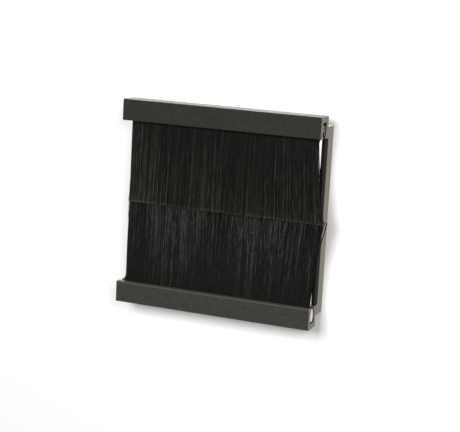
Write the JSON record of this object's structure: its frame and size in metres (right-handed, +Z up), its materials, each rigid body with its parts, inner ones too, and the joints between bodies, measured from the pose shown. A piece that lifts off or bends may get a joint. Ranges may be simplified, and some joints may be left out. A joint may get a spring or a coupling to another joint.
{
  "type": "brush wall plate",
  "caption": "Square wall plate with a coated rail above and below, each holding a strip brush, whose bristles meet in the middle to let cables out of the wall.",
  "frame": {"origin": "middle of the frame's back in the wall plane, halfway between the two wall screw holes", "axes": "+X to the right seen from the front, +Y into the wall, +Z up; the front looks along -Y"},
  "size_m": [0.0883, 0.0163, 0.086],
  "materials": {
    "coated_rail": "satin coat, bare cut ends",
    "strip_steel": "galvanised",
    "wire_steel": "drawn",
    "bristle": "satin nylon",
    "frame_metal": "mill finish",
    "cheek_plastic": "matt",
    "screw_steel": "zinc plated"
  },
  "bodies": {
    "root": {"top_rail": "coated_rail", "bottom_rail": "coated_rail", "upper_strip_channel": "strip_steel", "lower_strip_channel": "strip_steel", "upper_core_wire": "wire_steel", "lower_core_wire": "wire_steel", "upper_bristles": "bristle", "lower_bristles": "bristle", "rear_frame": "frame_metal", "left_cheek": "cheek_plastic", "right_cheek": "cheek_plastic", "top_left_rail_screw": "screw_steel", "top_right_rail_screw": "screw_steel", "bottom_left_rail_screw": "screw_steel", "bottom_right_rail_screw": "screw_steel"}
  },
  "joints": []
}
